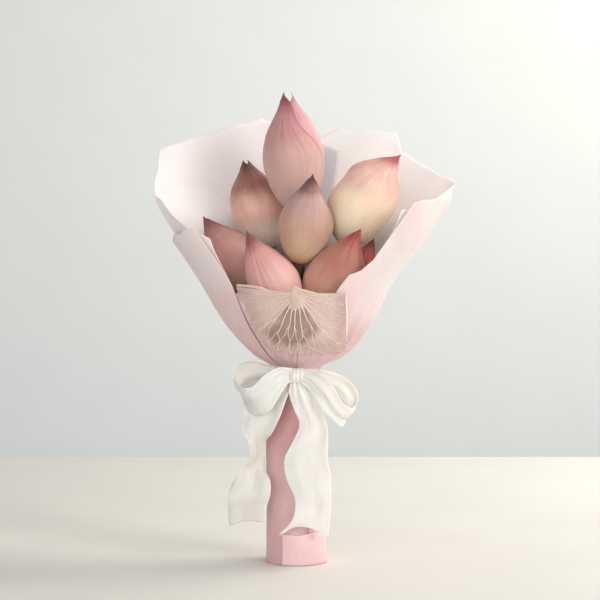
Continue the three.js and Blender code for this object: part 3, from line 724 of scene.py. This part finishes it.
def build_binding():
    around = np.linspace(0, 360, 145)[:-1, None]
    corner = np.linspace(0, 6, 37)
    out, share = (np.interp(corner, range(7), column)[None, :] for column in zip(*TAPE_SECTION))
    height = TAPE_LOW + (TAPE_HIGH - TAPE_LOW) * share
    crepe = 0.06 * np.sin(np.radians(around) * 90) * np.sin(height * 4) * (out > 0.3)
    grid = polar(TAPE_INNER + out + crepe, around, height)[:, :-1]
    faces = quads(np.pad(numbered(grid), ((0, 1), (0, 1)), "wrap")).tolist()
    build("binding", [(grid.reshape(-1, 3), faces, len(faces), {})], [tape_look()], "tape", "binding_tape")


# ---- paper handle

HANDLE_OUTLINE = [[0, 34.6], [110, 34.6], [140, 33.8], [160, 30.5], [178, 24.6], [192, 21.1], [212, 21.1]]
HANDLE_TOP = 209
PACKED_PAPER = 0.9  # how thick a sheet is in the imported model
TISSUE = 0.45  # how thick it is here
HANDLE_COLUMNS, HANDLE_ROWS = 260, 120
ROLL_START, ROLL_TURN = 244, 398  # degrees
ROLL_PITCH = PACKED_PAPER + 0.45
SEAM_TURN = 48  # how far past the hem's start the sheet's own outer edge lies, under the ribbon's right tail
HEM_HEIGHT = 34
HEM_TURN = 100  # degrees


def handle_dent(degrees, height):
    """The paper's slow flats over the stems, the same for every layer of the roll."""
    a = np.radians(degrees)
    grip = smooth(8, 60, height) * smooth(205, 150, height)
    flats = 0.55 * np.sin(5 * a + 0.9 + height / 60) + 0.3 * np.sin(9 * a + 1.9 - height / 45)
    pleats = 0.55 * np.sin(26 * a + 1.3) * smooth(150, 190, height)
    return grip * flats + pleats - 0.35 * smooth(0, 12, height) * smooth(40, 12, height)


def handle_radius(start, turn, height):
    """How far out the roll lies at a turn in degrees from its start: each turn lies inside the one before."""
    return along(HANDLE_OUTLINE, height) - ROLL_PITCH * turn / 360 + handle_dent(start + turn, height)


def handle_sheet():
    """The sheet itself, rolled a little more than once round the stems."""
    turn = np.linspace(0, ROLL_TURN, HANDLE_COLUMNS)[:, None]
    height = np.linspace(0, HANDLE_TOP, HANDLE_ROWS)[None, :]
    seam = ROLL_START + SEAM_TURN
    radius = handle_radius(seam, turn, height) - 0.25
    low = 0.75 + 0.5 * smooth(60, 190, height)
    return thick(polar(radius, seam + turn, height), TISSUE, {"low": low}, lean=0)


def handle_hem():
    """The turned-up foot of the sheet, with a slightly torn upper edge."""
    turn = np.linspace(0, HEM_TURN, 90)[:, None]
    share = np.linspace(0, 1, 16)[None, :]
    notch = 0.9 * hill((turn - 30) / 8) + 0.9 * np.sin(turn / 13)
    top = HEM_HEIGHT - notch - 3 * smooth(70, 100, turn)
    height = 0.3 + (top - 0.3) * share
    radius = handle_radius(ROLL_START, turn, height) + 0.3 + 0.25 * smooth(0.7, 1, share)
    return thick(polar(radius, ROLL_START + turn, height), TISSUE, {"low": 0}, lean=0.6)


def build_handle(paper):
    build("handle_paper", [handle_sheet(), handle_hem()], [paper], "pink_paper", "handle_wrap")


# ---- wrapping sheets

# The open cone: height, then how far out it goes to the left, right, front and back.
CONE = [
    [186, 21.5, 21.5, 21.5, 21.5],
    [211, 21.5, 21.5, 21.5, 21.5],
    [216, 25, 27, 25, 24],
    [224, 36, 43, 34, 32],
    [240, 53, 60, 49, 43],
    [265, 74, 77, 64, 54],
    [306, 98, 98, 79, 66],
    [354, 130, 134, 97, 80],
    [399, 157, 161, 111, 92],
    [449, 180, 186, 123, 102],
    [500, 200, 206, 133, 110],
]
SHEET_FOOT = 193
SHEET_ROWS = 84
SHEET_COLUMN = 1.3  # degrees
BACK_LAYERS = 2  # the innermost sheets stand behind the buds, and the others in front of them

# Each sheet's layer and its rim: degrees round the cone, with 270 at the front, and the rim's height there.
SHEETS = {
    "back_left": (0, [[75, 460], [103, 499], [125, 477], [148, 457], [154, 432], [164, 405], [187, 397],
                      [203, 374], [225, 350]]),
    "back_right": (1, [[-43, 380], [-22, 390], [-3, 407], [14, 420], [34, 436], [50, 456], [54, 480],
                       [76, 487], [100, 452]]),
    "front": (2, [[210, 302], [226, 294], [248, 287], [270, 284], [292, 287], [315, 292], [330, 300]]),
    "outer": (3, [[-88, 240], [-76, 262], [-66, 288], [-60, 313], [-53, 317], [-48, 327], [-41, 388],
                  [-6, 401], [22, 372], [58, 384], [90, 418], [122, 380], [152, 345], [181, 354], [204, 356],
                  [222, 362], [229, 300]]),
}


def layer_pitch(height):
    """How far one sheet lies outside the next: they are pressed together below the bow."""
    return 1.3 + 0.9 * smooth(211, 226, height)


def wave(degrees, height):
    """The paper's slow waves and the pleats above the waist, the same for every sheet so that they nest."""
    opening = smooth(270, 430, height)
    a = np.radians(degrees)
    slow = opening * (4.2 * np.sin(5 * a + 0.7) + 2.6 * np.sin(9 * a + 2.1 + height / 90))
    gathers = smooth(209, 226, height) * smooth(330, 236, height)
    pleats = gathers * (1.1 * np.sin(19 * a + 0.4) + 0.7 * np.sin(31 * a + 1.9))
    return slow + pleats + 0.9 * smooth(235, 300, height) * np.sin(14 * a + height / 34)


def cone_point(degrees, height, offset):
    """A point at that offset outside the cone, on the paper's waves."""
    a = np.radians(degrees)
    out = offset + wave(degrees, height)
    width = np.where(np.cos(a) < 0, along(CONE, height, 1), along(CONE, height, 2))
    depth = np.where(np.sin(a) < 0, along(CONE, height, 3), along(CONE, height, 4))
    return np.stack([(width + out) * np.cos(a), (depth + out) * np.sin(a), height * np.ones_like(a)], -1)


def sheet_curl(layer, a, share, height):
    """How far a rim turns out in front or in behind. A low rim lies flat under the leaf."""
    out = 0.8 + 1.1 * np.maximum(0, np.sin(7 * a + layer))
    return (out if layer >= BACK_LAYERS else -out) * smooth(0.9, 1, share) * smooth(315, 345, height)


def build_sheet(name, paper):
    layer, rim = SHEETS[name]
    corners, tops = zip(*rim)
    columns = np.union1d(np.arange(corners[0], corners[-1], SHEET_COLUMN), corners)[:, None]
    share = (np.linspace(0, 1, SHEET_ROWS + 1) ** 1.15)[None, :]
    a = np.radians(columns)
    top = np.interp(columns, corners, tops) + 0.7 * np.sin(23 * a + layer)
    height = SHEET_FOOT + (top - SHEET_FOOT) * share
    own = 0.35 * np.sin(11 * a + 3 * layer + height / 21) * smooth(230, 300, height)
    offset = layer * layer_pitch(height) + 0.45 + own + sheet_curl(layer, a, share, height)
    low = smooth(330, 215, height)
    # painted shade: the back sheets darken higher up in the middle, behind the buds, for the shade inside the
    # cone
    if layer < BACK_LAYERS:  # these deepen sooner in the middle
        low = np.maximum(low, smooth(372, 335, height) * smooth(0.5, 0.95, np.sin(a)))
    sheet = thick(cone_point(columns, height, offset), TISSUE, {"low": low})
    finish = "pale_paper" if layer < BACK_LAYERS else "pink_paper"
    build(name + "_sheet", [sheet], [paper], finish, name + "_wrap")


# ---- skeleton leaf

HUB = [0, 293]  # X and height of the leaf's hub, at the fold
LEAF_LAYER = 4
LEAF_SPAN = 186  # degrees, from a little above the horizontal on the left
# How far it reaches at an angle below the horizontal, from the left round to the right.
LEAF_REACH = [[-12, 65], [0, 63], [16, 56], [36, 59], [65, 66], [80, 65], [105, 66], [120, 73], [130, 80],
              [139, 71], [147, 64], [165, 55], [180, 52]]
# The turned-over part's section: inward and up, from the front over the fold and down inside.
LEAF_FOLD = [[-0.2, -1.2], [0, 0.4], [1.8, 1.8], [5.4, 1.2], [7.2, -4], [7.2, -15]]
# The fold's height above the hub along X.
FOLD_LINE = [[-72, 8], [-55, 7.2], [-40, 5.5], [-28, 1.5], [-17, -2], [0, -1], [8, 1.5], [16, 0], [25, -2.2],
             [55, -4]]
FOLD_LEFT, FOLD_RIGHT = -63, 52
FOLD_END = 22  # over this length at either end, the inside gets shorter
HUB_HUMP = 6.5  # how far the stiff hub stands above the fold
BOSS = [-2, 286]  # the hub's raised middle, in X and height
BOSS_HALF_WIDTH, BOSS_HALF_HEIGHT = 7, 11
LEAF_COLUMNS, LEAF_ROWS = 200, 60
LEAF_VEINS = 15
LEAF_THICKNESS = 0.25
ROLLED_FROM = 136  # degrees: from here to the fold, the right edge is rolled over


def on_front(x, height, offset):
    """A point laid on the front of the cone."""
    width = np.where(x < 0, along(CONE, height, 1), along(CONE, height, 2)) + offset
    depth = along(CONE, height, 3) + offset
    return np.stack([x, -depth * np.sqrt(np.maximum(0, 1 - (x / width) ** 2)), height * np.ones_like(x)], -1)


def leaf_offset(height):
    """How far the leaf lies outside the innermost sheet. It stands off a little below."""
    return LEAF_LAYER * layer_pitch(height) + 4 * smooth(275, 240, height)


def leaf_point(degrees, reach, proud=0.0):
    """A point of the hanging half, by the angle below the horizontal from its left end."""
    a = np.radians(180 + degrees)
    x, height = HUB[0] + reach * np.cos(a), HUB[1] + reach * np.sin(a)
    ripple = 0.5 * np.sin(np.radians(degrees) * 11 + reach / 14) * smooth(14, 50, reach)
    return on_front(x, height, leaf_offset(height) + 0.9 + ripple + proud)


def leaf_edge(degrees):
    """The reach at the edge, which is ragged but for the rolled part."""
    ragged = 1.4 * np.sin(np.radians(degrees) * 23) + 0.8 * np.sin(np.radians(degrees) * 61)
    return along(LEAF_REACH, degrees) + ragged * smooth(ROLLED_FROM, ROLLED_FROM - 12, degrees)


def leaf_blade():
    """The hanging half, from the hub to its ragged edge."""
    degrees = np.linspace(180, 180 - LEAF_SPAN, LEAF_COLUMNS)[:, None]
    share = np.linspace(0.02, 1, LEAF_ROWS)[None, :]
    reach, a = leaf_edge(degrees) * share, np.radians(degrees)
    values = {"net_x": reach * np.cos(a), "net_y": reach * np.sin(a), "out": share, "turn": degrees}
    return thick(leaf_point(degrees, reach), LEAF_THICKNESS, values)


def leaf_cover():
    """The part that is turned over the sheets' rim, with the hub's hump in the fold."""
    steps = np.linspace(0, 1, 44)
    fold = curve_through([[*row, 0] for row in LEAF_FOLD], steps)
    inward, up = fold[None, :, 0], fold[None, :, 1]
    x = np.linspace(FOLD_LEFT, FOLD_RIGHT, 110)[:, None]
    ends = smooth(FOLD_LEFT, FOLD_LEFT + FOLD_END, x) * smooth(FOLD_RIGHT, FOLD_RIGHT - FOLD_END, x)
    limp = (0.9 * np.sin(x / 9) + 0.5 * np.sin(x / 4.1)) * smooth(0.35, 1, steps)[None, :]
    hump = HUB_HUMP * hill((x - BOSS[0]) / 6.5) * smooth(0.02, 0.3, steps)[None, :]
    drop = np.where(up < 0, up * (0.3 + 0.7 * ends), up)
    height = HUB[1] + along(FOLD_LINE, x) + drop + limp * ends + hump
    grid = on_front(x * np.ones_like(height), height, leaf_offset(HUB[1]) + 0.4 - inward)
    return thick(grid, LEAF_THICKNESS, {"net_x": x, "net_y": up + 200, "out": 0.13, "turn": 0})


def leaf_boss():
    """The hub's raised middle, on the front."""
    around, out = np.linspace(0, math.tau, 33)[:, None], np.linspace(0.03, 1, 12)[None, :]
    x = BOSS[0] + BOSS_HALF_WIDTH * out * np.cos(around)
    height = BOSS[1] + BOSS_HALF_HEIGHT * out * np.sin(around)
    raised = leaf_offset(height) + 0.85 + 1.9 * (1 - out**2)
    return thick(on_front(x, height, raised), LEAF_THICKNESS, {"out": 0.05, "net_x": x})


def leaf_vein(start, end, start_radius, end_radius):
    """A raised vein between two points of the leaf, each an angle and a reach."""
    s = np.linspace(0, 1, 26)
    degrees = start[0] + (end[0] - start[0]) * s**1.4 + 0.8 * np.sin(7 * s + start[0])
    path = leaf_point(degrees, start[1] + (end[1] - start[1]) * s, proud=0.25)
    bright = 1 - 0.8 * smooth(30, 62, abs(start[0] - 88))
    return tube(path, start_radius + (end_radius - start_radius) * s, 6, {"bright": bright})


def rolled_edge():
    """The right edge, rolled over into a thin cord."""
    degrees = np.linspace(ROLLED_FROM, 179, 40)
    swell = np.sin(np.pi * np.linspace(0.06, 0.94, 40)) ** 0.5
    path = leaf_point(degrees, leaf_edge(degrees) - 0.6, proud=0.3)
    return tube(path, 1.1 * swell, 8, {"bright": 1.3})


def leaf_veins():
    """The leaf's main veins: each leaves the hub and forks twice."""
    step = (LEAF_SPAN - 6) / LEAF_VEINS
    for k in range(LEAF_VEINS):
        degrees = 178 - step * (k + 0.5)
        edge = float(leaf_edge(degrees))
        first = (degrees + 1.6 * math.sin(1.7 * k), edge * (0.56 + 0.09 * math.sin(2.3 * k)))
        yield leaf_vein((degrees, 4), first, 0.62, 0.42)
        for way in (-1, 1):
            second = (first[0] + way * 0.42 * step, edge * (0.82 + 0.05 * math.sin(3.1 * k + way)))
            yield leaf_vein(first, second, 0.38, 0.26)
            for turn in (-1, 1):
                target = second[0] + turn * 0.2 * step
                yield leaf_vein(second, (target, float(leaf_edge(target)) * 0.97), 0.24, 0.12)


def build_leaf():
    net = [leaf_blade(), leaf_cover(), leaf_boss()]
    build("leaf_net", net, [leaf_look()], "skeleton_leaf", "skeleton_leaf")
    build("leaf_veins", [rolled_edge(), *leaf_veins()], [vein_look()], "skeleton_leaf")


# ---- ribbon

RIBBON_THICKNESS = 0.35
RIBBON_STEPS, RIBBON_COLUMNS = 161, 25
RIBBON_BAND = 27  # the band's radius at the waist
BAND_LOW, BAND_HIGH = 196, 209

# Rows along the ribbon give its two edges: upper or left, then lower or right, as X, Y and height.
RIBBON_RUNS = {
    "left_loop": [
        [-1, -37, 212, -1, -37, 200], [-18, -44, 214, -11, -43, 195],
        [-34, -50, 206, -19, -50, 182], [-48, -51, 193, -28, -49, 169],
        [-59, -47, 193, -40, -44, 163], [-69, -38, 204, -53, -34, 170],
        [-66, -31, 216, -55, -27, 185], [-49, -31, 221, -44, -28, 194],
        [-28, -32, 216, -27, -30, 197], [-2, -33, 211, -2, -33, 201],
    ],
    "right_loop": [
        [3, -33, 201, 3, -33, 211], [24, -36, 193, 26, -35, 211],
        [44, -35, 180, 52, -36, 203], [52, -36, 163, 66, -38, 186],
        [48, -43, 152, 62, -47, 170], [36, -50, 160, 50, -54, 176],
        [22, -50, 178, 36, -54, 198], [10, -43, 194, 18, -46, 211],
        [1, -37, 201, 2, -38, 212],
    ],
    "left_tail": [
        [-4, -33, 209, 1, -33, 200], [-30, -38, 197, -8, -37, 186],
        [-56, -36, 182, -12, -39, 176], [-58, -39, 163, -18, -43, 160],
        [-58, -46, 149, -26, -40, 145], [-50, -50, 133, -34, -31, 133],
        [-48, -46, 120, -35, -24, 120], [-58, -38, 106, -34, -27, 105],
        [-68, -40, 91, -28, -39, 91], [-73, -46, 75, -28, -42, 77],
        [-73, -42, 60, -32, -40, 64], [-72, -37, 44, -35, -39, 48],
    ],
    "right_tail": [
        [-3, -36, 208, 6, -36, 201], [-8, -40, 188, 21, -43, 186],
        [-3, -41, 170, 29, -46, 166], [3, -42, 154, 33, -47, 150],
        [-4, -45, 135, 34, -48, 134], [-12, -47, 119, 33, -45, 118],
        [-13, -44, 105, 36, -42, 103], [-9, -41, 90, 37, -43, 88],
        [-2, -41, 72, 37, -46, 70], [-3, -44, 55, 36, -45, 53],
        [-12, -45, 42, 35, -42, 42], [-20, -43, 35.5, 34, -41, 33],
    ],
}
NOTCH = {"left_tail": 3, "right_tail": 9}  # how far each tail's end is hollowed
# Painted shade on the runs that hang in shade: how much, and where along the run it starts and is full.
PAINTED_SHADE_RUNS = {"left_tail": (0.85, -1, 0), "left_loop": (0.8, 0.28, 0.5)}
KNOT_MIDDLE = [1, -35.6, 205]
KNOT_SIZE = [9.5, 8.5, 8]


def ribbon_folds(name, across, s):
    """How far a run's soft folds, ruffled edges and gathers lift it off the sheet between its two edges."""
    loop = name.endswith("loop")
    shift = len(name) + ord(name[0])
    loose = smooth(0, 0.15, s) * (smooth(1, 0.85, s) if loop else 1)
    pinched = smooth(0.22, 0.0, s) + (smooth(0.8, 1, s) if loop else 0)
    crease = 1.1 * np.sin(math.tau * (1.5 * across + 0.6 * s))
    crease = crease + 0.35 * np.sin(math.tau * (2.6 * across - 1.3 * s) + shift)
    crease = crease + 0.12 * np.sin(math.tau * (5.1 * across + 4.3 * s) + 2 * shift)
    ruffle = 0.9 * np.abs(2 * across - 1) ** 3 * np.sin(31 * s + shift + 3 * across)
    return loose * (crease + ruffle) + 1.3 * pinched * np.sin(math.tau * (4 * across + 0.3 * s))


def ribbon_run(name):
    rows = np.array(RIBBON_RUNS[name], float)
    s, across = np.linspace(0, 1, RIBBON_STEPS), np.linspace(0, 1, RIBBON_COLUMNS)[:, None]
    first, second = curve_through(rows[:, :3], s), curve_through(rows[:, 3:], s)
    grid = first[None] + across[..., None] * (second - first)[None]
    s = s[None, :]
    grid[..., 2] += NOTCH.get(name, 0) * smooth(0.8, 1, s) * np.sin(math.pi * across)
    grid = grid + normals_of(grid) * ribbon_folds(name, across, s)[..., None]
    most, starts, full = PAINTED_SHADE_RUNS.get(name, (0, -1, 0))
    values = {"across": across, "along": s * len(rows) / 10, "deep": most * smooth(starts, full, s)}
    return thick(grid, RIBBON_THICKNESS, values)


def ribbon_band():
    """The ribbon round the waist, folded lengthwise in three."""
    around = np.linspace(-90, 270, 181)[:, None]
    share = np.linspace(0, 1, 37)[None, :]
    folded = np.interp(share, [0, 0.33, 0.36, 0.64, 0.67, 1], [0, 1, 1, 0.06, 0.06, 0.94])
    layer = np.interp(share, [0, 0.32, 0.37, 0.63, 0.68, 1], [0, 0, 0.6, 0.6, 1.2, 1.2])
    height = BAND_LOW + (BAND_HIGH - BAND_LOW) * folded
    a = np.radians(around)
    ripple = 0.35 * np.sin(3 * folded + 5 * a) + 0.25 * np.sin(7 * folded - 3 * a)
    grid = polar(RIBBON_BAND + layer + ripple, around, height)
    return thick(grid, RIBBON_THICKNESS, {"across": share, "along": around / 180})


def ribbon_knot():
    """The strap of ribbon over the bow's middle, pleated, with its ends tucked in."""
    a = np.radians(np.linspace(0, 360, 73)[:-1, None])
    x = np.linspace(-1, 1, 41)[None, :]
    body = np.sqrt(np.maximum(1 - np.abs(x) ** 3.2, 0.0004))
    pleats = 1 + 0.05 * np.sin(13 * x + 1.5 * np.sin(a)) * body
    pinch = 1 - 0.12 * hill((x - 0.15) / 0.12) * (0.5 + 0.5 * np.sin(a + 0.6))
    radius = body * pleats * pinch
    unit = np.stack(np.broadcast_arrays(x, -radius * np.sin(a), radius * np.cos(a) + 0.14 * x), -1)
    grid = unit[::-1] * np.array(KNOT_SIZE) + np.array(KNOT_MIDDLE)
    return lathe_part(grid, {"across": (x + 1) / 2, "along": a / math.tau})


def build_ribbon():
    parts = [ribbon_band(), ribbon_knot(), *[ribbon_run(name) for name in RIBBON_RUNS]]
    piece = build("ribbon_bow", parts, [ribbon_look()], "ribbon", "ribbon")


# ---- stage, lights and camera

VIEW_DISTANCE = 1.6
VIEW_WIDTH = 0.66  # what the picture takes in at the object
CAMERA_X = -0.00465
CAMERA_Y = -1.6117
CAMERA_HEIGHT = 0.286
FLOOR_END = 1.04  # where the floor meets the wall as the main camera sees it
WALL_Y = 2.0  # behind the camera of the views from the back
WALL_FOOT = -0.5
STAGE_REACH = 6.0

# Each lamp: where it stands, what it faces, its size in metres, its energy in watts and its colour.
LAMPS = {
    "key": ((1.65, -1.55, 1.1), (0, 0, 0.28), 0.9, 26.5, (1.0, 0.965, 0.92)),
    "fill": ((-1.6, -1.7, 0.8), (0, 0, 0.25), 1.6, 6, (0.96, 0.98, 1.0)),
    "glow": ((1.1, 0.85, 0.95), (0.06, 0, 0.36), 0.7, 7.5, (1.0, 0.96, 0.9)),
    "wall_wash": ((1.9, 0.45, 2.1), (0.476, WALL_Y, 0.4), 1.09, 46, (1.0, 0.965, 0.89)),
    "front": ((-0.5, -2.3, 0.72), (0, 0, 0.3), 1.1, 11.5, (1.0, 0.98, 0.95)),
}
SKY_COLOUR, SKY_STRENGTH = (0.93, 0.97, 1.0, 1), 0.42


def stage_plane(name, corners, colour, darker):
    """A plain plane, mottled very slightly towards its colour times darker."""
    look = Look(name + "_plain", roughness=0.55, specular=0.3)
    dark = (*[c * darker for c in colour[:3]], 1)
    material = look.finish(look.tint(colour, dark, look.noise(look.place, 6, 3), 0.35, 0.65))
    mesh = bpy.data.meshes.new(name)
    mesh.from_pydata(corners, [], [(0, 1, 2, 3)])
    mesh.materials.append(material)
    link(name, mesh)


def build_stage():
    r = STAGE_REACH
    floor = [(-r, -r, 0), (r, -r, 0), (r, FLOOR_END, 0), (-r, FLOOR_END, 0)]
    wall = [(-r, WALL_Y, WALL_FOOT), (r, WALL_Y, WALL_FOOT), (r, WALL_Y, r), (-r, WALL_Y, r)]
    stage_plane("floor", floor, rgb(217, 214, 207), 0.97)
    stage_plane("wall", wall, rgb(234, 236, 234), 0.985)


def area_light(name, place, target, size, energy, colour):
    data = bpy.data.lights.new(name, "AREA")
    data.size, data.energy, data.color = size, energy, colour
    lamp = link(name, data)
    lamp.location = place
    lamp.visible_camera = False
    lamp.rotation_euler = (Vector(target) - Vector(place)).to_track_quat("-Z", "Y").to_euler()


def build_lights():
    for name, settings in LAMPS.items():
        area_light(name, *settings)
    world = bpy.data.worlds.new("studio")
    world.use_nodes = True
    sky = world.node_tree.nodes["Background"].inputs
    sky["Color"].default_value, sky["Strength"].default_value = SKY_COLOUR, SKY_STRENGTH
    bpy.context.scene.world = world


def build_camera():
    data = bpy.data.cameras.new("camera")
    data.sensor_width = 36
    data.lens = data.sensor_width * VIEW_DISTANCE / VIEW_WIDTH
    camera = link("camera", data)
    camera.location = (CAMERA_X, CAMERA_Y, CAMERA_HEIGHT)
    camera.rotation_euler = (math.pi / 2, 0, 0)
    bpy.context.scene.camera = camera
    bpy.context.scene.view_settings.view_transform = "Standard"


# ---- the bouquet

# Each wrapping paper: its pale and deep colours, the light scattered inside it, and its clouding.
PAPERS = {
    # The two back sheets are one pale tissue in two copies: the left one darker as painted shade, with a deep
    # colour dark enough for the painted shade behind the buds, and the right one lighter as painted light.
    "back_left": ("pale_tissue_left_painted_shade", rgb(238, 227, 226), rgb(168, 132, 128), 0.45, 0.06),
    "back_right": ("pale_tissue_right_painted_light", rgb(255, 250, 246), rgb(198, 168, 161), 0.5, 0.05),
    "front": ("pink_tissue", rgb(243, 226, 224), rgb(234, 182, 185), 0.3),
    "handle": ("handle_tissue", rgb(245, 208, 209), rgb(216, 157, 157), 0.15),
}

papers = {name: paper_look(*settings) for name, settings in PAPERS.items()}
stem_looks = [stem_look(), cut_look()]
for number, name in enumerate(BUDS):
    build_bud(name, number)
    build_stem(name, stem_looks)
build_binding()
build_handle(papers["handle"])
for name in SHEETS:
    build_sheet(name, papers.get(name, papers["front"]))
build_leaf()
build_ribbon()
build_stage()
build_lights()
build_camera()
